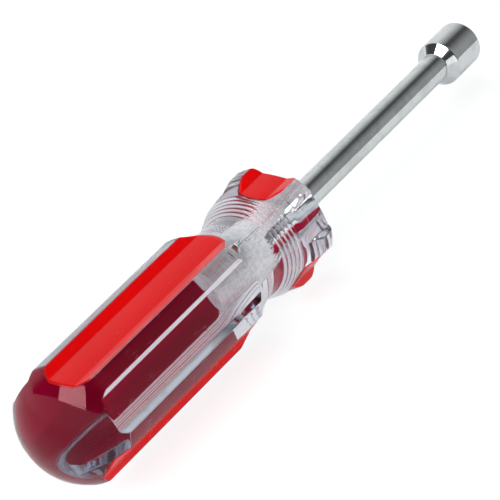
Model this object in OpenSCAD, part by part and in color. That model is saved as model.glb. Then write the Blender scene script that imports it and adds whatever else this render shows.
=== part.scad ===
// Nut driver with a fluted clear plastic handle, inlaid colour stripes and a plated steel blade.
// The tool lies along X. The origin is the centre of the socket's mouth, and +X points out of it.
// +Z is up when the tool lies on its handle: a stripe faces up and a clear flute faces the bench.

/* [Blade] */
// Length of shaft and socket that stands out of the handle
blade_len = 85.7; // [50:0.1:180]
// Outside diameter of the shaft
shaft_d = 6.35; // [5.5:0.05:7.5]
// Through bore of the shaft, which lets a long stud pass behind the nut
stud_bore_d = 4.3; // [3:0.1:4.8]
// Length of shaft pressed into the handle
shaft_seat_len = 34; // [22:0.5:50]
// Spare depth of the handle's seat past the shaft's end
seat_spare = 3; // [0.5:0.1:5]

/* [Socket] */
// Width of the hexagon across its flats, for a nut of one quarter inch
hex_flats = 6.35; // [5:0.05:7]
// Play between the nut and the hexagon, across the flats
hex_play = 0.1; // [0.05:0.01:0.25]
// Depth of the hexagon
hex_depth = 7; // [5:0.1:7.4]
// Outside diameter of the socket
socket_d = 10.3; // [9.6:0.1:14]
// Length of the socket
socket_len = 12; // [10.6:0.1:20]
// Share of the wall between shaft and outside that the socket's rear bevel takes
shoulder_bevel_share = 0.81; // [0.3:0.01:0.85]
// Rounding of the socket's front rim
rim_round = 0.6; // [0.2:0.05:0.6]
// Depth of the shaft's seat in the rear of the socket
socket_seat_len = 2.4; // [1:0.1:2.8]

/* [Handle] */
// Length of the handle
handle_len = 95.2; // [88:0.1:130]
// Diameter over the handle's crests
handle_d = 27; // [25.5:0.1:30]
// Radius of the turned dome on the butt
dome_r = 15.1; // [15.1:0.1:18]
// Diameter at the waist between the grip and the collar
waist_d = 19.2; // [16:0.1:20]
// Distance from the front face back to the waist
waist_back = 16.5; // [15:0.1:18]
// Radius of the sweep that runs from the grip down to the waist
sweep_r = 32.5; // [20:0.5:40]
// Length of the collar at its full diameter
collar_len = 3.3; // [2:0.1:4.5]
// Rounding of the collar's front edge
collar_round = 1.4; // [0.6:0.1:2]

/* [Flutes and stripes] */
// Depth of a stripe's groove below the crests
groove_depth = 2; // [1.2:0.05:2.3]
// Width of a groove's floor
groove_floor_w = 5.8; // [5:0.1:7.2]
// Width of a groove at the crests
groove_mouth_w = 10.5; // [9.5:0.1:11.2]
// Depth of a clear flute below the crests
flute_depth = 1.6; // [1:0.05:2.2]
// Width of a flute's floor
flute_floor_w = 7.5; // [5:0.1:8]
// Width of a flute at the crests
flute_mouth_w = 10; // [8.8:0.1:10.4]
// Thickness of the coloured layer under a groove
stripe_thick = 0.35; // [0.25:0.05:0.7]
// Width of the coloured layer across its groove
stripe_w = 10.2; // [8.6:0.1:10.8]
// Distance from the last bead forward to the collar's stripes
stripe_gap = 1.3; // [0.8:0.1:2]

/* [Turned beads] */
// Number of beads turned on the cone behind the collar
bead_count = 5; // [2:1:6]
// Distance from bead to bead along the tool
bead_pitch = 1.07; // [0.9:0.01:1.2]
// Radius of a bead
bead_r = 0.42; // [0.3:0.01:0.5]
// Distance from the waist forward to the first bead
bead_start = 1.3; // [0.6:0.1:1.5]

/* [Knurl] */
// Number of straight grooves around the shaft's seat
knurl_count = 16; // [8:1:20]
// Radius of a knurl groove
knurl_r = 0.3; // [0.2:0.02:0.4]
// Length of the knurled end
knurl_len = 22; // [10:0.5:22]
// Plain tip beyond the knurl
knurl_tip = 1.5; // [0.5:0.1:3]

/* [Hidden] */

$fn = 96;

// Radial clearance of a pressed joint, which keeps the two walls from crossing
press_gap = 0.02;
// Overrun of every cut past the face that it opens
overrun = 1;
// Depth of the small lead-in at the mouth of the hexagon
hex_lead = 0.4;

crest_r = handle_d / 2;
waist_r = waist_d / 2;
shaft_r = shaft_d / 2;
stud_r = stud_bore_d / 2;
socket_r = socket_d / 2;
hex_r = (hex_flats + hex_play) / 2 / cos(30);
shoulder_bevel = shoulder_bevel_share * (socket_r - shaft_r);

// Stations along X
socket_rear_x = -socket_len;
front_x = -blade_len;
butt_x = front_x - handle_len;
dome_x = butt_x + dome_r;
waist_x = front_x - waist_back;
collar_rear_x = front_x - collar_round - collar_len;
shaft_end_x = front_x - shaft_seat_len;
seat_x = shaft_end_x - seat_spare;
shaft_tip_x = socket_rear_x + socket_seat_len;
knurl_x = shaft_end_x + knurl_tip;

// Cone between the waist and the collar, its beads, and the start of the collar's stripes
cone_slope = (crest_r - waist_r) / (collar_rear_x - waist_x);
first_bead_x = waist_x + bead_start;
last_bead_x = first_bead_x + (bead_count - 1) * bead_pitch;
collar_stripe_x = last_bead_x + stripe_gap;

// Directions round the axis: 180 is up, 60 is to the left and 300 is to the right
stripe_turns = [180, 60, 300];
flute_turns = [0, 120, 240];

// Turns the local Z axis to the tool's X axis
module along_tool() {
    rotate([0, 90, 0]) children();
}

// A bar of a flat outline, from station x0 to station x1
module bar(x0, x1) {
    along_tool()
        translate([0, 0, x0])
            linear_extrude(height = x1 - x0) children();
}

// A round rod about the tool's axis
module rod(r, x0, x1) {
    along_tool()
        translate([0, 0, x0])
            cylinder(r = r, h = x1 - x0);
}

// Distance from the axis to the crest circle at a given half width
function crest_height(half_w) = sqrt(crest_r * crest_r - half_w * half_w);

// Cutter for one straight channel with a flat floor and sloping walls, open to the outside
module channel(floor_w, mouth_w, depth) {
    mouth_y = crest_height(mouth_w / 2);
    floor_y = crest_r - depth;
    slope = (mouth_w - floor_w) / 2 / (mouth_y - floor_y);
    top_y = crest_r + overrun;
    top_half = mouth_w / 2 + slope * (top_y - mouth_y);
    polygon([
        [floor_y, -floor_w / 2],
        [floor_y, floor_w / 2],
        [top_y, top_half],
        [top_y, -top_half]
    ]);
}

module groove() {
    channel(groove_floor_w, groove_mouth_w, groove_depth);
}

// Room for a groove and its coloured layer, which ends on the groove's walls
module stripe_bed() {
    intersection() {
        translate([-stripe_thick, 0]) groove();
        translate([0, -stripe_w / 2]) square([crest_r, stripe_w]);
    }
}

module flute() {
    channel(flute_floor_w, flute_mouth_w, flute_depth);
}

// Cross-section of the bar that the lathe starts from: round, less the grooves and the flutes
module bar_section() {
    difference() {
        circle(r = crest_r);
        for (turn = stripe_turns) rotate(turn) groove();
        for (turn = flute_turns) rotate(turn) flute();
    }
}

// Cross-section of one stripe, turned to its place
module stripe_section(turn) {
    intersection() {
        circle(r = crest_r);
        rotate(turn)
            difference() {
                stripe_bed();
                groove();
            }
    }
}

// Half outline of the butt's dome, cut off where the dome is wider than the bar
module dome_outline() {
    intersection() {
        translate([0, dome_x]) circle(r = dome_r);
        translate([0, butt_x]) square([crest_r + overrun, dome_r]);
    }
}

// Radius of the cone that rises from the waist to the collar
function cone_r(x) = waist_r + cone_slope * (x - waist_x);

// What the lathe takes off between the grip and the collar
module waist_cut() {
    intersection() {
        translate([waist_r + sweep_r, waist_x]) circle(r = sweep_r);
        translate([0, waist_x - sweep_r]) square([2 * crest_r, sweep_r]);
    }
    polygon([
        [waist_r, waist_x],
        [crest_r, collar_rear_x],
        [2 * crest_r, collar_rear_x],
        [2 * crest_r, waist_x]
    ]);
}

// What the lathe takes off the collar's front edge
module front_edge_cut() {
    difference() {
        translate([crest_r - collar_round, front_x - collar_round])
            square([collar_round + overrun, collar_round + overrun]);
        translate([crest_r - collar_round, front_x - collar_round])
            circle(r = collar_round);
    }
}

// Half outline of everything that the lathe leaves, with the radius along X
module turned_outline() {
    difference() {
        union() {
            dome_outline();
            translate([0, dome_x]) square([crest_r + overrun, front_x - dome_x]);
        }
        waist_cut();
        front_edge_cut();
    }
    for (i = [0 : bead_count - 1]) {
        bead_x = first_bead_x + i * bead_pitch;
        translate([cone_r(bead_x), bead_x]) circle(r = bead_r);
    }
}

// The lathe's envelope of the handle between two stations
module turned_envelope() {
    along_tool()
        rotate_extrude($fn = 128) turned_outline();
}

// Bars of colour that the lathe cuts down to the grip's and the collar's stripes
module grip_stripe_bar(turn) {
    bar(butt_x - overrun, waist_x) stripe_section(turn);
}

module collar_stripe_bar(turn) {
    bar(collar_stripe_x, front_x + overrun) stripe_section(turn);
}

// Clear plastic body of the handle, with its blind seat for the shaft
module handle_body() {
    color([0.86, 0.88, 0.9, 0.45])
        difference() {
            intersection() {
                bar(butt_x - overrun, front_x + overrun) bar_section();
                turned_envelope();
            }
            for (turn = stripe_turns) {
                grip_stripe_bar(turn);
                collar_stripe_bar(turn);
            }
            rod(shaft_r + press_gap, seat_x, front_x + overrun);
        }
}

module grip_stripe(turn) {
    color([0.8, 0.02, 0.03])
        intersection() {
            grip_stripe_bar(turn);
            turned_envelope();
        }
}

module collar_stripe(turn) {
    color([0.8, 0.02, 0.03])
        intersection() {
            collar_stripe_bar(turn);
            turned_envelope();
        }
}

module grip_stripe_top() {
    grip_stripe(stripe_turns[0]);
}

module grip_stripe_left() {
    grip_stripe(stripe_turns[1]);
}

module grip_stripe_right() {
    grip_stripe(stripe_turns[2]);
}

module collar_stripe_top() {
    collar_stripe(stripe_turns[0]);
}

module collar_stripe_left() {
    collar_stripe(stripe_turns[1]);
}

module collar_stripe_right() {
    collar_stripe(stripe_turns[2]);
}

// Hollow shaft, straight from its seat in the handle to the socket, knurled where the handle grips it
module shaft() {
    color([0.72, 0.74, 0.75])
        difference() {
            rod(shaft_r, shaft_end_x, shaft_tip_x);
            rod(stud_r, shaft_end_x - overrun, shaft_tip_x + overrun);
            for (i = [0 : knurl_count - 1])
                along_tool()
                    rotate(i * 360 / knurl_count)
                        translate([shaft_r, 0, knurl_x])
                            cylinder(r = knurl_r, h = knurl_len, $fn = 24);
        }
}

// Half outline of the socket's outside, bevelled at the rear and rounded at the front rim
module socket_outline() {
    difference() {
        polygon([
            [0, socket_rear_x],
            [socket_r - shoulder_bevel, socket_rear_x],
            [socket_r, socket_rear_x + shoulder_bevel],
            [socket_r, 0],
            [0, 0]
        ]);
        rim_cut();
    }
}

// Rounds the outer corner of the socket's front rim
module rim_cut() {
    difference() {
        translate([socket_r - rim_round, -rim_round])
            square([rim_round + overrun, rim_round + overrun]);
        translate([socket_r - rim_round, -rim_round])
            circle(r = rim_round);
    }
}

// Socket with its hexagon, the passage for a stud and the seat for the shaft
module socket() {
    color([0.74, 0.76, 0.77])
        difference() {
            along_tool() rotate_extrude() socket_outline();
            along_tool()
                translate([0, 0, -hex_depth])
                    cylinder(r = hex_r, h = hex_depth + overrun, $fn = 6);
            along_tool()
                translate([0, 0, -hex_lead])
                    cylinder(r1 = hex_r - hex_lead, r2 = hex_r + hex_lead, h = 2 * hex_lead);
            rod(stud_r, socket_rear_x - overrun, 0);
            rod(shaft_r + press_gap, socket_rear_x - overrun, shaft_tip_x);
        }
}

handle_body();
grip_stripe_top();
grip_stripe_left();
grip_stripe_right();
collar_stripe_top();
collar_stripe_left();
collar_stripe_right();
shaft();
socket();
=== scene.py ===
import math
import bpy
import numpy as np
from mathutils import Matrix, Vector


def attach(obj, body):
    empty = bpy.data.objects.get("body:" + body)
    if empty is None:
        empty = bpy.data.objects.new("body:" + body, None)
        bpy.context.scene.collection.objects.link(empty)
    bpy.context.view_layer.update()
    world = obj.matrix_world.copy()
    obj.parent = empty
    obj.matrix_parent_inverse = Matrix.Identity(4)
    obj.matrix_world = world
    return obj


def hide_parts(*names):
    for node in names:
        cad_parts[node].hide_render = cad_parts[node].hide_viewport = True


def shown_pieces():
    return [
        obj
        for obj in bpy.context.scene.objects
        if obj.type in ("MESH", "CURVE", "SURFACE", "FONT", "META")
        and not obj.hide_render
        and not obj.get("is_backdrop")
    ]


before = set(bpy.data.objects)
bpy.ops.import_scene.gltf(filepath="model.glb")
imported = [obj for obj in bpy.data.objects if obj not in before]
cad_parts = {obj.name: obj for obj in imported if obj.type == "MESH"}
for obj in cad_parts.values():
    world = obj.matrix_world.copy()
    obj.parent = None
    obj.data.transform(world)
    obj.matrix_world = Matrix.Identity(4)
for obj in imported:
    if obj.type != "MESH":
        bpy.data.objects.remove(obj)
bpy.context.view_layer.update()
mm = 0.001
print("frame loaded,", len(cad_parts), "nodes")

# The tool lies along X, with the socket's mouth at zero and the butt at the low end. Sizes here are in
# millimetres. An angle round the tool is zero at the top and grows towards the right side, which is -Y.

# What the lathe leaves of the clear handle
handle = {
    "buttX": -180.9,
    "domeRadius": 15.1,
    "crestRadius": 13.5,
    "waistX": -102.2,
    "waistRadius": 9.6,
    "sweepRadius": 32.5,
    "collarRearX": -90.4,
    "frontX": -85.7,
    "frontRound": 1.4,
    "grooveFrontRound": 0.35,
    "frontRoundFrom": 11.5,
    "shaftEndX": -119.7,
    "seatX": -122.7,
    "boreRadius": 3.195,
    "boreRound": 1.1,
    "edgeBlend": 0.25,
    "waistBlend": 0.3,
}

# Turned beads on the cone behind the collar
beads = {"firstX": -100.9, "pitch": 1.07, "count": 5, "height": 0.44}

# Channels along the bar: half widths, and heights over the tool's axis
groove = {
    "floorHalf": 2.9,
    "floorHeight": 11.45,
    "bulge": 0.1,
    "mouthHalf": 5.25,
    "footBlend": 0.1,
    "mouthBlend": 0.2,
}
flute = {
    "floorHalf": 3.75,
    "floorHeight": 11.88,
    "bulge": 0.25,
    "mouthHalf": 5.0,
    "footBlend": 0.06,
    "mouthBlend": 0.12,
}

# The shaft's two wings, which rise from the rear as a ramp. The angle and the side's blend are in radians.
wing = {"angle": 0.27, "rearX": -112.2, "topX": -109.4, "frontX": -108.8, "frontBlend": 0.2, "height": 1.35,
        "edge": 0.05}

# The slots that the wings cut into the wall of the seat on their way in, which close up towards the front:
# half widths in radians and shares of the wing's height, each at the stations
slot = {
    "stations": [-112.2, -109.4, -103.0],
    "halfWidths": [0.28, 0.15, 0.05],
    "shares": [1.0, 1.0, 0.5],
    "play": 0.02,
}

# Where the knurl tore the wall of the seat: up to the front, but on the right side only up to a station. The
# right side is a plateau over four angles in radians.
tear = {"frontGap": 0.5, "rightEndX": -98.5, "rightAngles": [0.5, 0.75, 3.1, 3.2]}

# Coloured inlay of a groove. The edge's height over the axis turns its half width into an angle.
stripe = {
    "half": 5.15,
    "edgeHeight": 12.3,
    "layer": 0.35,
    "edge": 0.3,
    "proud": 0.015,
    "collarX": -95.32,
    "collarBlend": 1.8,
}


def smoothMin(a, b, blend):
    # The lower of two heights, rounded off where they cross: there it lies a quarter of the blend lower
    share = np.clip(0.5 + 0.5 * (b - a) / blend, 0.0, 1.0)
    return b + (a - b) * share - blend * share * (1.0 - share)


def smoothMax(a, b, blend):
    # The higher of two heights, rounded in the same way
    return -smoothMin(-a, -b, blend)


def denseStations(low, high, marks, count, spread, gain, steps=6001):
    # Stations from low to high. Their density is 1 plus the gain times a bell curve round each mark
    fine = np.linspace(low, high, steps)
    density = np.ones_like(fine)
    for mark in marks:
        density += gain * np.exp(-(((fine - mark) / spread) ** 2))
    total = np.concatenate([[0.0], np.cumsum((density[1:] + density[:-1]) / 2.0)])
    return np.interp(np.linspace(0.0, total[-1], count), total, fine)


def crestHeight(half):
    # Height of the crest's circle over the axis, at a half width
    return math.sqrt(handle["crestRadius"] ** 2 - half ** 2)


def channelRadius(angle, channel):
    # Distance from the axis to a channel's floor or wall, at an angle from its middle. The floor is a shallow
    # arch, height = floor + bulge * (1 - (w / floorHalf)^2), and the wall is a straight line up to the mouth.
    floor, half, mouthHalf = channel["floorHeight"], channel["floorHalf"], channel["mouthHalf"]
    top = floor + channel["bulge"]
    q = channel["bulge"] * (np.sin(angle) / half) ** 2
    arch = 2.0 * top / (np.cos(angle) + np.sqrt(np.cos(angle) ** 2 + 4.0 * q * top))
    slope = (crestHeight(mouthHalf) - floor) / (mouthHalf - half)
    side = np.abs(np.sin(angle))
    wall = (floor - slope * half) / np.maximum(np.cos(angle) - slope * side, 0.05)
    return smoothMax(arch, wall, channel["footBlend"])


def stripeAngle(angle):
    # Angle from the nearest stripe's middle, from 0 to 60 degrees, which is a flute's middle
    turn = 2.0 * math.pi / 3.0
    return np.abs((angle + turn / 2.0) % turn - turn / 2.0)


def barRadius(angle):
    # Outline of the bar: the crest circle, cut by the nearest groove and the nearest flute
    fromStripe = stripeAngle(angle)
    grooveCut = channelRadius(fromStripe, groove)
    fluteCut = channelRadius(math.pi / 3.0 - fromStripe, flute)
    crest = np.full_like(fromStripe, handle["crestRadius"])
    return smoothMin(smoothMin(grooveCut, crest, groove["mouthBlend"]), fluteCut, flute["mouthBlend"])


def layerDepth(angle):
    # Thickness of the coloured layer below the bar's outline: it thins out as a quarter circle at its edges
    inner = np.clip((stripeHalf - stripeAngle(angle)) / (stripe["edge"] / handle["crestRadius"]), 0.0, 1.0)
    return stripe["layer"] * np.sqrt(1.0 - (1.0 - inner) ** 2)


def neckRadius(x):
    # The sweep's circle down to the waist, then the cone up to the collar with its turned beads
    circle = handle["sweepRadius"] ** 2 - (x - handle["waistX"]) ** 2
    sweep = handle["waistRadius"] + handle["sweepRadius"] - np.sqrt(np.maximum(circle, 0.0))
    cone = handle["waistRadius"] + coneSlope * (x - handle["waistX"])
    phase = (x - beads["firstX"]) / beads["pitch"]
    nearest = np.clip(np.round(phase), 0, beads["count"] - 1)
    swell = np.clip(1.0 - (2.0 * (phase - nearest)) ** 2, 0.0, 1.0)
    return smoothMax(sweep, cone, handle["waistBlend"]) + beads["height"] * np.sqrt(swell) * swell ** 0.25


def lathedRadius(x):
    # Everything the lathe leaves: the lower of the neck and the dome's circle, which ends at its widest
    circle = handle["domeRadius"] ** 2 - np.minimum(x - domeX, 0.0) ** 2
    dome = np.sqrt(np.maximum(circle, 0.0)) + np.where(x > domeX, handle["crestRadius"], 0.0)
    return np.minimum(dome, neckRadius(x))


# The inlay's half width as an angle, the middle of the dome's circle, and the rise of the cone
stripeHalf = math.atan2(stripe["half"], stripe["edgeHeight"])
domeX = handle["buttX"] + handle["domeRadius"]
coneSlope = (handle["crestRadius"] - handle["waistRadius"]) / (handle["collarRearX"] - handle["waistX"])


def domeStation(radius):
    # Where the dome has that radius
    return domeX - np.sqrt(handle["domeRadius"] ** 2 - radius ** 2)


def sweepStation(radius):
    # Where the sweep has that radius
    drop = handle["waistRadius"] + handle["sweepRadius"] - radius
    return handle["waistX"] - np.sqrt(handle["sweepRadius"] ** 2 - drop ** 2)


def coneStation(radius):
    # Where the cone has that radius
    return handle["waistX"] + (radius - handle["waistRadius"]) / coneSlope


def frontRound(radius):
    # Radius of the front edge's rounding: small in a groove, and the lathe's own on a crest
    start = handle["frontRoundFrom"]
    rise = np.clip((radius - start) / (handle["crestRadius"] - start), 0.0, 1.0)
    low = handle["grooveFrontRound"]
    return low + (handle["frontRound"] - low) * rise ** 4


def frontStation(radius, depth):
    # Station on the front edge's quarter round, at a depth below the bar's own radius
    edge = frontRound(radius)
    inner = 1.0 - np.minimum(depth / edge, 1.0)
    return handle["frontX"] - edge + edge * np.sqrt(1.0 - inner ** 2)


def wingRise(x, angle, play):
    # Height of a wing or of its slot: a ramp along the tool, with a flat top and steep sides across it
    turn = np.abs((angle - wing["angle"] + math.pi / 2.0) % math.pi - math.pi / 2.0)
    half = np.interp(x, slot["stations"], slot["halfWidths"]) + play / handle["boreRadius"]
    across = np.clip((half - turn) / wing["edge"], 0.0, 1.0)
    ramp = np.clip((x - wing["rearX"]) / (wing["topX"] - wing["rearX"]), 0.0, 1.0)
    return wing["height"] * np.interp(x, slot["stations"], slot["shares"]) * ramp * across


def boreRadius(x, angle):
    # The seat's wall with its two slots
    return handle["boreRadius"] + wingRise(x, angle, slot["play"])


def tornWall(x, angle):
    # Whether the seat's wall is torn by the knurl: not in the slots, nor in front on the right side. The edge
    # there is ragged, a sum of three sines of the angle.
    right = np.interp(angle, tear["rightAngles"], [0.0, 1.0, 1.0, 0.0])
    ragged = 0.5 * np.sin(23.0 * angle) + 0.4 * np.sin(41.0 * angle + 1.0) + 0.3 * np.sin(97.0 * angle)
    limit = handle["frontX"] - tear["frontGap"] + right * (tear["rightEndX"] - handle["frontX"] + ragged)
    return (x < limit) & (boreRadius(x, angle) < handle["boreRadius"] + 0.01)


def place(x, radius, angle):
    # Points in metres from station, radius and angle round the tool
    x, radius, angle = np.broadcast_arrays(x, radius, angle)
    return np.stack([x, -radius * np.sin(angle), radius * np.cos(angle)], axis=-1) * mm


def meshObject(name, points, faces, slotIndex=None):
    # Makes the mesh, and turns it inside out if its volume comes out negative
    quads = np.array([face for face in faces if len(face) == 4], dtype=np.int64).reshape(-1, 4)
    tris = np.array([face for face in faces if len(face) == 3], dtype=np.int64).reshape(-1, 3)
    both = np.concatenate([quads[:, [0, 1, 2]], quads[:, [0, 2, 3]], tris])
    a, b, c = points[both[:, 0]], points[both[:, 1]], points[both[:, 2]]
    if np.einsum("ij,ij->", a, np.cross(b, c)) < 0:
        faces = [face[::-1] for face in faces]
    mesh = bpy.data.meshes.new(name)
    mesh.from_pydata(points.tolist(), [], faces)
    mesh.polygons.foreach_set("use_smooth", np.ones(len(faces), dtype=bool))
    if slotIndex is not None:
        mesh.polygons.foreach_set("material_index", np.array(slotIndex, dtype=np.int32))
    mesh.update()
    piece = bpy.data.objects.new(name, mesh)
    bpy.context.scene.collection.objects.link(piece)
    return piece


def gridFaces(rows, columns, wrapRows=False, wrapColumns=True):
    # Quads between neighbouring rows and columns of a grid of points
    r = np.arange(rows if wrapRows else rows - 1)
    c = np.arange(columns if wrapColumns else columns - 1)
    r, c = (v.ravel() for v in np.meshgrid(r, c, indexing="ij"))
    r2, c2 = (r + 1) % rows, (c + 1) % columns
    return np.stack([r * columns + c, r2 * columns + c, r2 * columns + c2, r * columns + c2], axis=1)


def closedTurning(name, x, radius, angle, firstX, lastX, torn):
    # A turned form that closes in a point on the axis at each end. Its torn faces take the second material
    rows, columns = x.shape
    ring = place(x, radius, angle).reshape(-1, 3)
    ends = np.array([[firstX * mm, 0.0, 0.0], [lastX * mm, 0.0, 0.0]])
    points = np.concatenate([ring, ends])
    quads = gridFaces(rows, columns).tolist()
    c = np.arange(columns)
    c2 = (c + 1) % columns
    start = np.stack([np.full(columns, rows * columns), c, c2], axis=1).tolist()
    base = (rows - 1) * columns
    end = np.stack([np.full(columns, rows * columns + 1), base + c2, base + c], axis=1).tolist()
    closing = np.repeat([0, 1], columns)
    return meshObject(name, points, quads + start + end, np.concatenate([torn.astype(int).ravel(), closing]))


def hollowTurning(name, x, radius, angle, slotIndex=None):
    # A turned form with a hole through it: its outline is a closed loop
    rows, columns = np.broadcast_arrays(x, radius, angle)[0].shape
    points = place(x, radius, angle).reshape(-1, 3)
    return meshObject(name, points, gridFaces(rows, columns, wrapRows=True).tolist(), slotIndex)


def layerObject(name, outer, inner):
    # A layer between two grids of points, closed all round its edge
    rows, columns = outer.shape[:2]
    count = rows * columns
    points = np.concatenate([outer.reshape(-1, 3), inner.reshape(-1, 3)])
    top = gridFaces(rows, columns, wrapColumns=False)
    index = np.arange(count).reshape(rows, columns)
    rim = np.concatenate([index[0, :-1], index[:-1, -1], index[-1, :0:-1], index[:0:-1, 0]])
    after = np.roll(rim, -1)
    wall = np.stack([rim, after, after + count, rim + count], axis=1)
    under = top[:, ::-1] + count
    faces = np.concatenate([top, under, wall]).tolist()
    inside = [0] * len(top) + [1] * len(under) + [0] * len(wall)
    return meshObject(name, points, faces, inside)


# Columns of the handle's grid crowd round the feet and mouths of the channels, and the sides of the slots
grooveFoot = math.atan2(groove["floorHalf"], groove["floorHeight"])
grooveMouth = math.asin(groove["mouthHalf"] / handle["crestRadius"])
fluteFoot = math.pi / 3.0 - math.atan2(flute["floorHalf"], flute["floorHeight"])
fluteMouth = math.pi / 3.0 - math.asin(flute["mouthHalf"] / handle["crestRadius"])
slotMarks = [wing["angle"], math.pi / 3.0 - wing["angle"]]
channelMarks = [grooveFoot, stripeHalf, grooveMouth, fluteMouth, fluteFoot] + slotMarks


handleGrid = {
    "sixthColumns": 67,
    "domeRows": 30,
    "gripRows": 7,
    "sweepRows": 22,
    "rowsPerBead": 12,
    "roundRows": 11,
    "boreRows": 44,
}


def roundAngles(count):
    # Angles of the whole round, from one sixth of it that is mirrored and repeated
    sixth = denseStations(0.0, math.pi / 3.0, channelMarks, count, 0.03, 5.0)
    third = np.concatenate([sixth[:-1], 2.0 * math.pi / 3.0 - sixth[:0:-1]])
    return np.concatenate([third + turn * 2.0 * math.pi / 3.0 for turn in range(3)])


# Rows beside an edge between a turned surface and a straight one, as distances from it
edgeSteps = np.array([0.0, 0.04, 0.09, 0.15, 0.22, 0.3, 0.42, 0.6, 0.9])


def handleBody():
    # Rows run from the butt over the dome, along the grip, down the sweep, over the beads and the collar, and
    # back down the bore to the bottom of the shaft's seat. The radius is the lower of the lathe's and the
    # bar's. Each row's station bends with the bar's outline, so that the edges between them follow the grid.
    grid = handleGrid
    angle = roundAngles(grid["sixthColumns"])
    bar = barRadius(angle)
    skin = bar - 0.5 * layerDepth(angle)
    domeEnd, sweepStart = domeStation(skin), sweepStation(skin)
    coneEnd, frontStart = coneStation(skin), frontStation(skin, 0.0)
    stations = []
    lean = np.arcsin(skin / handle["domeRadius"])
    nearEdge = 1.0 - edgeSteps[:0:-1] / handle["domeRadius"]
    for share in np.concatenate([np.linspace(0.03, 0.93, grid["domeRows"]), nearEdge]):
        stations.append(domeX - handle["domeRadius"] * np.cos(lean * share))
    stations += [domeEnd + step for step in edgeSteps]
    along = np.linspace(0.05, 0.95, grid["gripRows"])
    stations += [domeEnd + (sweepStart - domeEnd) * share for share in along]
    stations += [sweepStart - step for step in edgeSteps[::-1]]
    stations += [sweepStart + step for step in edgeSteps[1:]]
    waist = handle["waistX"]
    down = np.linspace(0.1, 1.0, grid["sweepRows"])
    stations += [sweepStart + (waist - sweepStart) * share for share in down]
    beadEnd = beads["firstX"] + (beads["count"] - 0.5) * beads["pitch"]
    stations += [np.full_like(bar, x) for x in np.linspace(waist + 0.1, beads["firstX"] - 0.6, 4)]
    beadCount = grid["rowsPerBead"] * beads["count"] + 1
    beadRows = np.linspace(beads["firstX"] - 0.5 * beads["pitch"], beadEnd, beadCount)
    stations += [np.full_like(bar, x) for x in beadRows]
    stations += [beadEnd + (coneEnd - beadEnd) * share for share in np.linspace(0.2, 0.8, 4)]
    stations += [coneEnd - (coneEnd - beadEnd) * 0.2 * (1.0 - share) for share in (0.4, 0.7, 1.0)]
    reach = frontStart - coneEnd
    stations += [coneEnd + np.minimum(step, reach * 0.5) for step in edgeSteps[1:6]]
    stations += [coneEnd + reach * share for share in (0.3, 0.5, 0.7, 0.85)]
    x = np.stack(stations)
    radius = smoothMin(lathedRadius(x), skin[None, :], handle["edgeBlend"])
    edge = frontRound(skin)
    bend = np.linspace(0.0, math.pi / 2.0, grid["roundRows"])[:, None]
    x = np.concatenate([x, handle["frontX"] - edge + edge * np.sin(bend)])
    radius = np.concatenate([radius, skin - edge * (1.0 - np.cos(bend))])
    mouth = boreRadius(handle["frontX"], angle)
    face = radius[-1] + (mouth - radius[-1]) * np.array([0.02, 0.06, 0.3, 0.6, 0.9, 0.98, 1.0])[:, None]
    seatEnd = handle["seatX"] + handle["boreRound"]
    boreMarks = [tear["rightEndX"], wing["rearX"]]
    bore = denseStations(seatEnd, handle["frontX"] - 0.1, boreMarks, grid["boreRows"], 0.9, 5.0)
    bore = bore[::-1, None] + 0.0 * bar
    wall = boreRadius(bore, angle[None, :])
    turn = np.linspace(0.0, math.pi / 2.0, 9)[1:, None]
    bottomX = handle["seatX"] + handle["boreRound"] * (1.0 - np.sin(turn)) + 0.0 * bar
    bottom = handle["boreRadius"] - handle["boreRound"] * (1.0 - np.cos(turn)) + 0.0 * bar
    outside = len(x) + len(face)
    x = np.concatenate([x, np.full_like(face, handle["frontX"]), bore, bottomX])
    radius = np.concatenate([radius, face, wall, bottom])
    between = angle + 0.5 * ((np.roll(angle, -1) - angle) % (2.0 * math.pi))
    torn = tornWall(0.5 * (x[:-1] + x[1:]), between[None, :])
    torn[:outside - 1] = False
    return closedTurning("clear_handle", x, radius, angle[None, :], handle["buttX"], handle["seatX"], torn)


def stripeAngles(middle, count=81):
    # Angles across an inlay, closer together at its edges and at the feet of the groove
    marks = [-stripeHalf, -grooveFoot, grooveFoot, stripeHalf]
    return denseStations(-stripeHalf, stripeHalf, marks, count, 0.03, 4.0) + middle


def stripeLayer(name, x, outer, bed, angle):
    # The layer between its outside and its bed. It keeps a hundredth of a millimetre where the two meet.
    inner = np.minimum(np.broadcast_to(bed, x.shape), outer - 0.01)
    return layerObject(name, place(x, outer, angle), place(x, inner, angle))


def gripStripe(name, middle):
    # Rows run from the dome to the sweep. The outside is the handle's own surface and the underside is the
    # bed, and they meet where the dome and the sweep cut the bed.
    angle = stripeAngles(middle)
    bar = barRadius(angle)
    bed = bar - layerDepth(angle) - stripe["proud"]
    first, last = domeStation(bed), sweepStation(bed)
    domeEnd, sweepStart = domeStation(bar), sweepStation(bar)
    stations = [first + (domeEnd - first) * share for share in np.linspace(0.0, 0.9, 9)]
    stations += [domeEnd + step for step in edgeSteps]
    along = np.linspace(0.05, 0.95, handleGrid["gripRows"])
    stations += [domeEnd + (sweepStart - domeEnd) * share for share in along]
    stations += [sweepStart - step for step in edgeSteps[::-1]]
    stations += [sweepStart + (last - sweepStart) * share for share in np.linspace(0.1, 1.0, 9)]
    x = np.stack(stations)
    outer = smoothMin(lathedRadius(x), bar[None, :], handle["edgeBlend"]) + stripe["proud"]
    return stripeLayer(name, x, outer, bed, angle)


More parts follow.
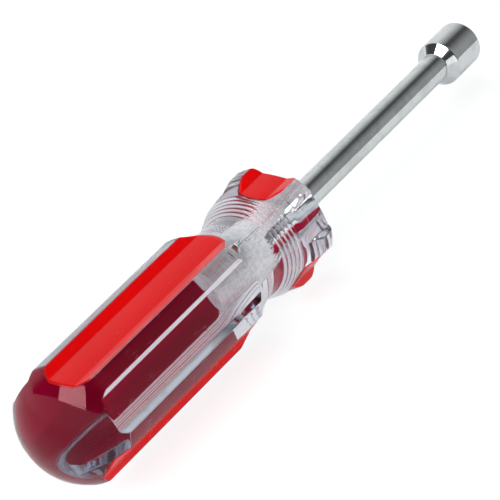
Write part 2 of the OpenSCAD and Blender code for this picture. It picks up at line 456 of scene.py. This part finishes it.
def collarStripe(name, middle):
    # The same layer from the cone to the collar's front edge, where it bends down on the edge's rounding
    angle = stripeAngles(middle)
    bar = barRadius(angle)
    bed = bar - layerDepth(angle) - stripe["proud"]
    first = smoothMax(coneStation(bed), np.full_like(bed, stripe["collarX"]), stripe["collarBlend"])
    coneEnd = coneStation(bar)
    stations = [first + (coneEnd - first) * share for share in np.linspace(0.0, 0.9, 9)]
    reach = frontStation(bar, 0.0) - coneEnd
    stations += [coneEnd + np.minimum(step, reach * 0.5) for step in edgeSteps[:6]]
    stations += [coneEnd + reach * share for share in (0.3, 0.5, 0.7, 0.85)]
    x = np.stack(stations)
    outer = smoothMin(lathedRadius(x), bar[None, :], handle["edgeBlend"]) + stripe["proud"]
    depth = (bar - bed) * np.sin(np.linspace(0.0, math.pi / 2.0, 10))[:, None] ** 2
    x = np.concatenate([x, frontStation(bar, depth) + stripe["proud"]])
    outer = np.concatenate([outer, bar - depth + stripe["proud"]])
    return stripeLayer(name, x, outer, bed, angle)


shaftSizes = {"radius": 3.175, "bore": 2.15, "tipX": -9.6, "edgeRound": 0.15}


def shaftTube():
    # Outline of a straight tube as a closed loop: outside from the seat to the tip, then back along the bore.
    # The wings rise from its outside.
    r, bore, edge = shaftSizes["radius"], shaftSizes["bore"], shaftSizes["edgeRound"]
    seat, tip = handle["shaftEndX"], shaftSizes["tipX"]
    bend = np.linspace(0.0, math.pi / 2.0, 6)
    rear = np.stack([seat + edge * (1.0 - np.cos(bend)), r - edge * (1.0 - np.sin(bend))], axis=1)
    ends = [wing["rearX"], wing["frontX"]]
    held = denseStations(seat + 1.0, handle["frontX"] - 0.02, ends, 60, 0.7, 5.0)
    along = np.concatenate([held, np.linspace(handle["frontX"], tip, 40)])
    outside = np.stack([along, np.full_like(along, r)], axis=1)
    inside = np.stack([np.linspace(tip, seat, 6), np.full(6, bore)], axis=1)
    outline = np.concatenate([rear, outside, inside])
    half = denseStations(0.0, math.pi, [wing["angle"]], 73, 0.12, 4.0)[:-1]
    angle = np.concatenate([half, half + math.pi])
    x = outline[:, :1]
    steps = np.arange(len(outline))
    outer = steps < len(rear) + len(outside)
    rise = wingRise(x, angle[None, :], 0.0) * np.clip((wing["frontX"] - x) / wing["frontBlend"], 0.0, 1.0)
    radius = outline[:, 1:] + rise * outer[:, None]
    seated = (outline[:, 0] < handle["frontX"] - 0.01) & outer
    slotIndex = np.repeat(seated.astype(int), len(angle))
    return hollowTurning("plated_shaft", x, radius, angle[None, :], slotIndex)


socketSizes = {
    "radius": 5.15,
    "length": 12.0,
    "bevel": 1.6,
    "bevelRound": 0.6,
    "fillet": 0.5,
    "rimRound": 0.6,
    "hexHalf": 3.225,
    "hexDepth": 7.0,
    "hexLead": 0.4,
    "bore": 2.15,
    "seatRadius": 3.195,
    "seatX": -9.6,
}


def socketShell():
    # Outline of the socket as a closed loop: a concave foot, a bevel of 45 degrees, two roundings, and back
    # through the mouth. The hexagon's radius is its half width over the cosine of the angle from a flat.
    s = socketSizes
    bend = np.linspace(0.0, math.pi / 2.0, 9)
    bevel, big, small, rear = s["bevel"], s["bevelRound"], s["rimRound"], -s["length"]
    fillet, neck = s["fillet"], shaftSizes["radius"] + 0.01
    angle = np.linspace(0.0, 2.0 * math.pi, 192, endpoint=False)
    fromFlat = (angle % (math.pi / 3.0)) - math.pi / 6.0
    hexagon = s["hexHalf"] / np.cos(fromFlat)
    rows = []

    def ring(x, radius):
        rows.append((x + 0.0 * angle, radius + 0.0 * angle))

    filletX = rear + bevel - (s["radius"] - neck) - (math.sqrt(2.0) - 1.0) * fillet
    for b in 0.5 * bend:
        ring(filletX + fillet * math.sin(b), neck + fillet * (1.0 - math.cos(b)))
    low = neck + fillet * (1.0 - math.sqrt(0.5))
    high = s["radius"] - big * (1.0 - math.sqrt(0.5))
    for share in (0.06, 0.25, 0.5, 0.75, 0.94):
        level = low + (high - low) * share
        ring(rear + bevel - (s["radius"] - level), level)
    rimX = rear + bevel + (math.sqrt(2.0) - 1.0) * big
    for b in math.pi / 4.0 + 0.5 * bend:
        ring(rimX - big * math.cos(b), s["radius"] - big * (1.0 - math.sin(b)))
    for x in np.linspace(rimX + 0.05, -small - 0.05, 8):
        ring(x, s["radius"])
    for b in bend:
        ring(-small * (1.0 - math.sin(b)), s["radius"] - small * (1.0 - math.cos(b)))
    rimTop, deep = s["radius"] - small, s["hexDepth"]
    lead = np.minimum(hexagon + s["hexLead"], rimTop - 0.1)
    for share in (0.05, 0.5, 0.95, 1.0):
        ring(0.0, rimTop + (lead - rimTop) * share)
    for depth in (0.05, 0.2, 0.35, s["hexLead"]):
        ring(-depth, lead - depth)
    for depth in (0.45, 1.0, 3.0, 5.0, deep - 0.1, deep):
        ring(-depth, hexagon)
    for share in (0.05, 0.5, 0.95, 1.0):
        ring(-deep, hexagon + (s["bore"] - hexagon) * share)
    for x in (-deep - 0.1, s["seatX"] + 0.1, s["seatX"]):
        ring(x, s["bore"])
    for share in (0.5, 1.0):
        ring(s["seatX"], s["bore"] + (s["seatRadius"] - s["bore"]) * share)
    for x in (s["seatX"] - 0.1, s["seatX"] - 1.2, filletX + 0.02):
        ring(x, s["seatRadius"] - 0.005)
    x = np.stack([row[0] for row in rows])
    radius = np.stack([row[1] for row in rows])
    return hollowTurning("plated_socket", x, radius, angle[None, :])


# Shader helpers. A value that is another node's output is linked, and any other is set.
def addNode(tree, kind, values=None, **settings):
    node = tree.nodes.new(kind)
    for key, value in settings.items():
        setattr(node, key, value)
    for key, value in (values or {}).items():
        if hasattr(value, "is_output"):
            tree.links.new(value, node.inputs[key])
        else:
            node.inputs[key].default_value = value
    return node


def addMath(tree, operation, a, b=0.0, clamp=False):
    return addNode(tree, "ShaderNodeMath", {0: a, 1: b}, operation=operation, use_clamp=clamp).outputs[0]


def mapRange(tree, value, low, high, toLow=0.0, toHigh=1.0, smooth=False):
    values = {"Value": value, "From Min": low, "From Max": high, "To Min": toLow, "To Max": toHigh}
    kind = "SMOOTHSTEP" if smooth else "LINEAR"
    return addNode(tree, "ShaderNodeMapRange", values, interpolation_type=kind).outputs["Result"]


def mixColor(tree, share, a, b):
    node = addNode(tree, "ShaderNodeMix", {"Factor": share}, data_type="RGBA")
    for index, value in ((6, a), (7, b)):
        if hasattr(value, "is_output"):
            tree.links.new(value, node.inputs[index])
        else:
            node.inputs[index].default_value = (*value, 1.0)
    return node.outputs[2]


def addNoise(tree, vector, scale, detail, **values):
    values = {"Vector": vector, "Scale": scale, "Detail": detail, **values}
    return addNode(tree, "ShaderNodeTexNoise", values).outputs[0]


# Marks of use: how far hairlines turn from the tool's axis and how much they are drawn out, and how fine each
# mark is
handling = {
    "hairlines": ((0.12, 0.05), (-0.35, 0.09)),
    "scratchScale": 900.0,
    "scratchWidth": 0.012,
    "brokenScale": 260.0,
    "smudgeScale": 120.0,
    "driftScale": 45.0,
    "grainScale": 2600.0,
}


def makeHandlingMarks():
    # Shared by all finishes. A hairline lies where stretched noise passes its middle value, and a coarser
    # noise breaks it up. Smudges, drift and grain are noise of three sizes.
    group = bpy.data.node_groups.new("handlingMarks", "ShaderNodeTree")
    face = group.interface
    face.new_socket(name="Position", in_out="INPUT", socket_type="NodeSocketVector")
    for name, key in (("Scratch Width", "scratchWidth"), ("Smudge Scale", "smudgeScale")):
        socket = face.new_socket(name=name, in_out="INPUT", socket_type="NodeSocketFloat")
        socket.default_value = handling[key]
    for name in ("Scratches", "Smudges", "Drift", "Grain"):
        face.new_socket(name=name, in_out="OUTPUT", socket_type="NodeSocketFloat")
    source = group.nodes.new("NodeGroupInput").outputs
    result = group.nodes.new("NodeGroupOutput").inputs
    position = source["Position"]
    lines = []
    for turn, stretch in handling["hairlines"]:
        values = {"Vector": position, "Rotation": (turn, turn * 0.7, turn), "Scale": (stretch, 1.0, 1.0)}
        turned = addNode(group, "ShaderNodeMapping", values).outputs[0]
        noise = addNoise(group, turned, handling["scratchScale"], 1.0, Roughness=0.4)
        away = addMath(group, "ABSOLUTE", addMath(group, "SUBTRACT", noise, 0.5))
        lines.append(mapRange(group, away, 0.0, source["Scratch Width"], 1.0, 0.0))
    broken = addNoise(group, position, handling["brokenScale"], 2.0)
    kept = mapRange(group, broken, 0.52, 0.62)
    both = addMath(group, "MAXIMUM", lines[0], lines[1])
    group.links.new(addMath(group, "MULTIPLY", both, kept), result["Scratches"])
    smudge = addNoise(group, position, source["Smudge Scale"], 5.0, Roughness=0.62, Distortion=0.4)
    group.links.new(mapRange(group, smudge, 0.42, 0.68, smooth=True), result["Smudges"])
    drift = addNoise(group, position, handling["driftScale"], 2.0)
    group.links.new(mapRange(group, drift, 0.3, 0.7), result["Drift"])
    group.links.new(addNoise(group, position, handling["grainScale"], 2.0), result["Grain"])
    return group


handlingMarks = makeHandlingMarks()


def startMaterial(name, marks):
    # A new material with its Principled shader and the shared marks in it
    material = bpy.data.materials.new(name)
    material.use_nodes = True
    tree = material.node_tree
    tree.nodes.clear()
    shader = tree.nodes.new("ShaderNodeBsdfPrincipled")
    output = tree.nodes.new("ShaderNodeOutputMaterial")
    tree.links.new(shader.outputs[0], output.inputs["Surface"])
    position = tree.nodes.new("ShaderNodeTexCoord").outputs["Object"]
    group = addNode(tree, "ShaderNodeGroup", node_tree=handlingMarks)
    tree.links.new(position, group.inputs["Position"])
    for key, value in marks.items():
        group.inputs[key].default_value = value
    return material, tree, shader, position, group.outputs


def addRoughness(tree, shader, marks, finish):
    # Roughness is the polish, plus the smudges and the scratches, each times its own share
    smudged = addMath(tree, "MULTIPLY_ADD", marks["Smudges"], finish["smudged"])
    smudged.node.inputs[2].default_value = finish["polish"]
    scratched = addMath(tree, "MULTIPLY", marks["Scratches"], finish["scratched"])
    tree.links.new(addMath(tree, "ADD", smudged, scratched), shader.inputs["Roughness"])


def addBump(tree, shader, height, strength, distance):
    bump = addNode(tree, "ShaderNodeBump", {"Strength": strength, "Distance": distance, "Height": height})
    tree.links.new(bump.outputs[0], shader.inputs["Normal"])


def scratchedHeight(tree, height, marks, depth):
    # A height with the scratches cut into it
    return addMath(tree, "SUBTRACT", height, addMath(tree, "MULTIPLY", marks["Scratches"], depth))


def passLight(tree, shader, alpha):
    # Shadow and diffuse rays go straight through, apart from the share that alpha stops
    path = tree.nodes.new("ShaderNodeLightPath").outputs
    passing = addMath(tree, "MAXIMUM", path["Is Shadow Ray"], path["Is Diffuse Ray"])
    tree.links.new(mapRange(tree, passing, 0.0, 1.0, 1.0, alpha), shader.inputs["Alpha"])


# Clear plastic. Its gloss is the tint of its reflections, and the light that goes through is absorbed.
acetate = {
    "ior": 1.48,
    "gloss": (0.85, 0.38, 0.41, 1.0),
    "tint": (0.985, 0.988, 0.99),
    "absorbColor": (0.25, 0.3, 0.45, 1.0),
    "absorbDensity": 17.0,
    "shadowAlpha": 0.05,
    "polish": 0.005,
    "smudged": 0.03,
    "scratched": 0.08,
    "scratchWidth": 0.01,
    "peelScale": 180.0,
    "peel": 0.25,
    "peelDepth": 0.00002,
}

# Dark lines painted along a crest underneath, as painted shade from the shadowed floor seen through the
# plastic: middle and half width, which are angles in radians round the tool, and the height in metres that they
# stay below
paintedShadeLines = {
    "places": ((3.6, 0.007), (3.655, 0.012), (3.698, 0.005), (3.72, 0.009), (3.743, 0.005), (3.766, 0.006)),
    "color": (0.3, 0.25, 0.33),
    "top": -0.006,
}


def makeClearAcetate():
    width = {"Scratch Width": acetate["scratchWidth"]}
    material, tree, shader, position, marks = startMaterial("clearAcetate", width)
    part = addNode(tree, "ShaderNodeSeparateXYZ", {0: position}).outputs
    angle = addMath(tree, "ARCTAN2", part["Y"], addMath(tree, "MULTIPLY", part["Z"], -1.0))
    # The tint darkens in thin lines on a crest underneath: painted shade
    paintedShade = None
    for middle, half in paintedShadeLines["places"]:
        away = addMath(tree, "ABSOLUTE", addMath(tree, "SUBTRACT", angle, middle - math.pi))
        line = mapRange(tree, away, half * 0.4, half, 1.0, 0.0)
        paintedShade = line if paintedShade is None else addMath(tree, "MAXIMUM", paintedShade, line)
    paintedShade = addMath(tree, "MULTIPLY", paintedShade, addMath(tree, "LESS_THAN", part["Z"], paintedShadeLines["top"]))
    tree.links.new(mixColor(tree, paintedShade, acetate["tint"], paintedShadeLines["color"]), shader.inputs["Base Color"])
    shader.inputs["Transmission Weight"].default_value = 1.0
    shader.inputs["IOR"].default_value = acetate["ior"]
    shader.inputs["Specular Tint"].default_value = acetate["gloss"]
    addRoughness(tree, shader, marks, acetate)
    peel = addNoise(tree, position, acetate["peelScale"], 1.0)
    addBump(tree, shader, scratchedHeight(tree, peel, marks, 0.6), acetate["peel"], acetate["peelDepth"])
    passLight(tree, shader, acetate["shadowAlpha"])
    inside = {"Color": acetate["absorbColor"], "Density": acetate["absorbDensity"]}
    volume = addNode(tree, "ShaderNodeVolumeAbsorption", inside)
    output = shader.outputs[0].links[0].to_node
    tree.links.new(volume.outputs[0], output.inputs["Volume"])
    return material


# Red plastic of the inlays. The cut edge on the dome is a rim between two depths below the dome's circle, and
# it comes in between two stations.
redInlay = {
    "rim": (0.42, 0.001, 0.0015),
    "rimDepths": (0.14, 0.04),
    "rimStations": (-170.0, -171.0),
    "scratchWidth": 0.014,
    "grain": 0.2,
    "grainDepth": 0.00001,
}
inlayFace = {
    "color": (0.76, 0.001, 0.0015),
    "deep": (0.7, 0.001, 0.0015),
    "specular": 0.16,
    "polish": 0.12,
    "smudged": 0.1,
    "scratched": 0.2,
}
# The inlay's underside, which faces into the handle, gets a darker and bluer copy of the red: painted shade
inlayShadedUnderside = {
    "color": (0.58, 0.001, 0.045),
    "deep": (0.58, 0.001, 0.045),
    "specular": 0.0,
    "polish": 0.5,
    "smudged": 0.1,
    "scratched": 0.2,
}


def makeRedInlay(name, finish):
    # The layer's cut edge on the dome is darker than its face
    width = {"Scratch Width": redInlay["scratchWidth"]}
    material, tree, shader, position, marks = startMaterial(name, width)
    middle = {0: position, 1: (domeX * mm, 0.0, 0.0)}
    away = addNode(tree, "ShaderNodeVectorMath", middle, operation="DISTANCE").outputs["Value"]
    low, high = ((handle["domeRadius"] - depth) * mm for depth in redInlay["rimDepths"])
    onDome = mapRange(tree, away, low, high)
    start, full = (station * mm for station in redInlay["rimStations"])
    along = addNode(tree, "ShaderNodeSeparateXYZ", {0: position}).outputs["X"]
    cut = addMath(tree, "MULTIPLY", onDome, mapRange(tree, along, start, full))
    face = mixColor(tree, marks["Drift"], finish["color"], finish["deep"])
    tree.links.new(mixColor(tree, cut, face, redInlay["rim"]), shader.inputs["Base Color"])
    shader.inputs["IOR"].default_value = acetate["ior"]
    shader.inputs["Specular IOR Level"].default_value = finish["specular"]
    addRoughness(tree, shader, marks, finish)
    height = scratchedHeight(tree, marks["Grain"], marks, 1.5)
    addBump(tree, shader, height, redInlay["grain"], redInlay["grainDepth"])
    return material


# Wall of the seat where the knurl was pressed in: cloudy, with fine streaks along the tool and round it
frost = {
    "color": (0.98, 0.99, 0.985),
    "streak": (0.76, 0.77, 0.77),
    "polish": 0.16,
    "roughness": 0.3,
    "transmission": 0.06,
    "shadowAlpha": 0.5,
    "scratchWidth": 0.03,
    "drawnOut": 0.16,
    "alongScale": 2600.0,
    "roundScale": 2200.0,
    "bump": 0.5,
    "bumpDepth": 0.0003,
}


def makeSeatFrost():
    # The mottle is the mean of two noises, one drawn out along the tool and one across it
    width = {"Scratch Width": frost["scratchWidth"]}
    material, tree, shader, position, marks = startMaterial("seatFrost", width)
    shader.inputs["IOR"].default_value = acetate["ior"]
    shader.inputs["Transmission Weight"].default_value = frost["transmission"]
    drawn = frost["drawnOut"]
    along = addNode(tree, "ShaderNodeMapping", {"Vector": position, "Scale": (drawn, 1.0, 1.0)}).outputs[0]
    streaks = addNoise(tree, along, frost["alongScale"], 4.0)
    across = addNode(tree, "ShaderNodeMapping", {"Vector": position, "Scale": (1.0, drawn, drawn)}).outputs[0]
    torn = addNoise(tree, across, frost["roundScale"], 3.0)
    mottle = addMath(tree, "MULTIPLY", addMath(tree, "ADD", streaks, torn), 0.5)
    share = mapRange(tree, mottle, 0.42, 0.56, smooth=True)
    tree.links.new(mixColor(tree, share, frost["streak"], frost["color"]), shader.inputs["Base Color"])
    rough = mapRange(tree, marks["Smudges"], 0.0, 1.0, frost["polish"], frost["roughness"])
    tree.links.new(rough, shader.inputs["Roughness"])
    addBump(tree, shader, mottle, frost["bump"], frost["bumpDepth"])
    passLight(tree, shader, frost["shadowAlpha"])
    return material


# Chrome plate: bright outside, and duller and grained where the shaft is seated
chrome = {
    "color": (0.64, 0.665, 0.67),
    "dull": (0.55, 0.57, 0.575),
    "smudgeScale": 200.0,
    "grainDepth": 0.00001,
}
brightPlate = {"polish": 0.045, "smudged": 0.05, "scratched": 0.12, "grain": 0.05}
seatedPlate = {"polish": 0.1, "smudged": 0.15, "scratched": 0.12, "grain": 0.5}


def makeChrome(name, finish):
    scale = {"Smudge Scale": chrome["smudgeScale"]}
    material, tree, shader, _, marks = startMaterial(name, scale)
    plate = mixColor(tree, marks["Smudges"], chrome["color"], chrome["dull"])
    tree.links.new(plate, shader.inputs["Base Color"])
    shader.inputs["Metallic"].default_value = 1.0
    addRoughness(tree, shader, marks, finish)
    height = scratchedHeight(tree, marks["Grain"], marks, 1.0)
    addBump(tree, shader, height, finish["grain"], chrome["grainDepth"])
    return material


clearAcetate = makeClearAcetate()
seatFrost = makeSeatFrost()
redOutside = makeRedInlay("redInlay", inlayFace)
# The underside's darker, bluer copy of the red is painted shade
redShadedInside = makeRedInlay("redInlayShadedUnderside", inlayShadedUnderside)
brightChrome = makeChrome("brightChrome", brightPlate)
seatedChrome = makeChrome("seatedChrome", seatedPlate)
print("finishes made")


def finishPiece(piece, node, materials):
    for material in materials:
        piece.data.materials.append(material)
    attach(piece, "root")
    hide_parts(node)


third = 2.0 * math.pi / 3.0
finishPiece(handleBody(), "handle_body", [clearAcetate, seatFrost])
for side, middle in (("top", 0.0), ("left", -third), ("right", third)):
    grip = gripStripe("grip_inlay_" + side, middle)
    finishPiece(grip, "grip_stripe_" + side, [redOutside, redShadedInside])
    patch = collarStripe("collar_inlay_" + side, middle)
    finishPiece(patch, "collar_stripe_" + side, [redOutside, redShadedInside])
finishPiece(shaftTube(), "shaft", [brightChrome, seatedChrome])
finishPiece(socketShell(), "socket", [brightChrome])
print("pieces made")

# Camera: it aims at a point of the tool's axis, which leans away from the view, and it stands to the right of
# the top. Both angles are in degrees, distances are in metres, and the roll is a slope.
cameraRig = {"aimX": -0.0979, "distance": 1.1891, "lean": 41.5, "turn": 40.0, "roll": 0.0068, "lens": 413.1}


def placeCamera():
    # The tool's axis runs along one diagonal of the image, turned by the roll
    lean, turn = math.radians(cameraRig["lean"]), math.radians(cameraRig["turn"])
    along = Vector((1.0, 0.0, 0.0))
    near = Vector((0.0, -math.sin(turn), math.cos(turn)))
    side = along.cross(near)
    forward = math.cos(lean) * along - math.sin(lean) * near
    lift = math.sin(lean) * along + math.cos(lean) * near
    roll = math.atan(cameraRig["roll"])
    u = math.cos(roll) * lift - math.sin(roll) * side
    v = math.sin(roll) * lift + math.cos(roll) * side
    right, up = (u + v).normalized(), (u - v).normalized()
    data = bpy.data.cameras.new("photoCamera")
    data.sensor_width = 36.0
    data.lens = cameraRig["lens"]
    data.clip_start, data.clip_end = 0.05, 20.0
    camera = bpy.data.objects.new("photoCamera", data)
    bpy.context.scene.collection.objects.link(camera)
    turned = Matrix((right, up, -forward)).transposed()
    where = Vector((cameraRig["aimX"], 0.0, 0.0)) - cameraRig["distance"] * forward
    camera.matrix_world = Matrix.Translation(where) @ turned.to_4x4()
    bpy.context.scene.camera = camera


placeCamera()

# Floor: a large pale disc under the handle's lowest crests. The camera sees a darker paint, lifted to white
# by an even glow, which keeps the shadow faint.
floorSizes = {
    "radius": 3.0,
    "corners": 64,
    "middleX": -0.1,
    "color": (0.92, 0.925, 0.93),
    "seenColor": (0.24, 0.245, 0.25),
    "whiteLift": 0.82,
}


def makeFloor():
    low = min((piece.matrix_world @ Vector(corner)).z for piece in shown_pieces() for corner in piece.bound_box)
    r, corners = floorSizes["radius"], floorSizes["corners"]
    turn = np.linspace(0.0, 2.0 * math.pi, corners, endpoint=False)
    x = r * np.cos(turn) + floorSizes["middleX"]
    points = np.stack([x, r * np.sin(turn), np.full(corners, low)], axis=1)
    mesh = bpy.data.meshes.new("paleFloor")
    mesh.from_pydata(points.tolist(), [], [list(range(corners))])
    floor = bpy.data.objects.new("paleFloor", mesh)
    bpy.context.scene.collection.objects.link(floor)
    material = bpy.data.materials.new("paleFloor")
    material.use_nodes = True
    tree = material.node_tree
    tree.nodes.clear()
    output = tree.nodes.new("ShaderNodeOutputMaterial")
    path = tree.nodes.new("ShaderNodeLightPath").outputs
    paint = mixColor(tree, path["Is Camera Ray"], floorSizes["color"], floorSizes["seenColor"])
    matt = addNode(tree, "ShaderNodeBsdfDiffuse", {"Color": paint})
    strength = addMath(tree, "MULTIPLY", path["Is Camera Ray"], floorSizes["whiteLift"])
    lift = addNode(tree, "ShaderNodeEmission", {"Strength": strength})
    both = addNode(tree, "ShaderNodeAddShader", {0: matt.outputs[0], 1: lift.outputs[0]})
    tree.links.new(both.outputs[0], output.inputs["Surface"])
    mesh.materials.append(material)
    floor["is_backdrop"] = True


makeFloor()

# Room round the tool, by direction: a broad soft light on the left, a dim ceiling, a grey right side, and a
# pale screen low behind the camera with a bright window over it. The screen's top has two heights, as slopes,
# and the window's corners go round it in order. A lamp shines on the handle from the right.
room = {
    "color": (0.98, 0.99, 1.0, 1.0),
    "left": 0.93,
    "right": 0.39,
    "ceiling": 0.1,
    "screen": 1.3,
    "screenRight": 0.66,
    "screenLeft": 0.86,
    "window": 5.6,
    "mirroredWindow": 9.0,
    "corners": (
        (-0.221, 0.451, 0.865),
        (-0.377, -0.186, 0.908),
        (-0.763, -0.39, 0.516),
        (-0.724, 0.375, 0.579),
    ),
    "lamp": 2.6,
    "lampToward": (-0.2, -0.95, 0.17),
    "lampDistance": 1.0,
    "lampSize": (1.4, 0.28),
    "lampAim": (-0.13, 0.0, 0.0),
}


def placeLamp():
    # A rectangular lamp that faces the handle and is not seen in reflections
    lamp = bpy.data.lights.new("sideLight", "AREA")
    lamp.shape = "RECTANGLE"
    lamp.size, lamp.size_y = room["lampSize"]
    lamp.energy = room["lamp"]
    piece = bpy.data.objects.new("sideLight", lamp)
    bpy.context.scene.collection.objects.link(piece)
    back = Vector(room["lampToward"]).normalized()
    side = Vector((0.0, 0.0, 1.0)).cross(back).normalized()
    turned = Matrix((side, back.cross(side), back)).transposed().to_4x4()
    where = Vector(room["lampAim"]) + room["lampDistance"] * back
    piece.matrix_world = Matrix.Translation(where) @ turned
    piece.visible_camera = False
    piece.visible_glossy = False
    piece.visible_transmission = False


def mixNumber(tree, share, a, b):
    return addNode(tree, "ShaderNodeMix", {0: share, 2: a, 3: b}, data_type="FLOAT").outputs[0]


def insideWindow(tree, direction):
    # Whether a direction lies inside the window: on the inner side of the plane through each of its edges
    corners = [Vector(corner) for corner in room["corners"]]
    inside = None
    for first, second in zip(corners, corners[1:] + corners[:1]):
        normal = second.cross(first).normalized()
        if normal.dot(sum(corners, Vector())) < 0.0:
            normal = -normal
        dot = addNode(tree, "ShaderNodeVectorMath", {0: direction, 1: tuple(normal)}, operation="DOT_PRODUCT")
        near = mapRange(tree, dot.outputs["Value"], -0.012, 0.012)
        inside = near if inside is None else addMath(tree, "MINIMUM", inside, near)
    return inside


def makeRoom():
    # In front the strength is the ceiling's, plus the left or the right side's by the direction's Y. Behind
    # it is the screen's where the direction's rise is below the screen's top. A mirrored window is brighter,
    # and the camera sees plain white.
    world = bpy.data.worlds.new("softRoom")
    bpy.context.scene.world = world
    world.use_nodes = True
    tree = world.node_tree
    tree.nodes.clear()
    direction = tree.nodes.new("ShaderNodeTexCoord").outputs["Generated"]
    part = addNode(tree, "ShaderNodeSeparateXYZ", {0: direction}).outputs
    left = mapRange(tree, part["Y"], 0.03, 0.52, 0.0, room["left"] - room["ceiling"])
    right = mapRange(tree, part["Y"], -0.12, -0.52, 0.0, room["right"] - room["ceiling"])
    ahead = addMath(tree, "ADD", addMath(tree, "ADD", left, right), room["ceiling"])
    behind = mapRange(tree, part["X"], 0.1, -0.25, smooth=True)
    depth = addMath(tree, "MAXIMUM", addMath(tree, "ABSOLUTE", part["X"]), 0.25)
    rise = addMath(tree, "DIVIDE", part["Z"], depth)
    aside = addMath(tree, "DIVIDE", part["Y"], depth)
    top = mapRange(tree, aside, -0.5, 0.38, room["screenRight"], room["screenLeft"])
    below = addMath(tree, "SUBTRACT", top, rise)
    screen = mapRange(tree, below, -0.008, 0.008, room["ceiling"] * 0.7, room["screen"])
    path = tree.nodes.new("ShaderNodeLightPath").outputs
    mirrored = addMath(tree, "SUBTRACT", path["Is Glossy Ray"], path["Is Transmission Ray"], clamp=True)
    window = mapRange(tree, mirrored, 0.0, 1.0, room["window"], room["mirroredWindow"])
    walls = mixNumber(tree, behind, ahead, screen)
    upper = mixNumber(tree, insideWindow(tree, direction), walls, window)
    strength = mixNumber(tree, mapRange(tree, part["Z"], -0.01, 0.01), 1.0, upper)
    strength = mixNumber(tree, path["Is Camera Ray"], strength, 1.0)
    background = addNode(tree, "ShaderNodeBackground", {"Color": room["color"], "Strength": strength})
    output = tree.nodes.new("ShaderNodeOutputWorld")
    tree.links.new(background.outputs[0], output.inputs["Surface"])


makeRoom()
placeLamp()

# Enough bounces for the light's way through the clear handle
scene = bpy.context.scene
scene.view_settings.view_transform = "Standard"
scene.cycles.caustics_refractive = False
scene.cycles.max_bounces = 24
scene.cycles.transmission_bounces = 20
scene.cycles.transparent_max_bounces = 24
print("floor, room and camera made")
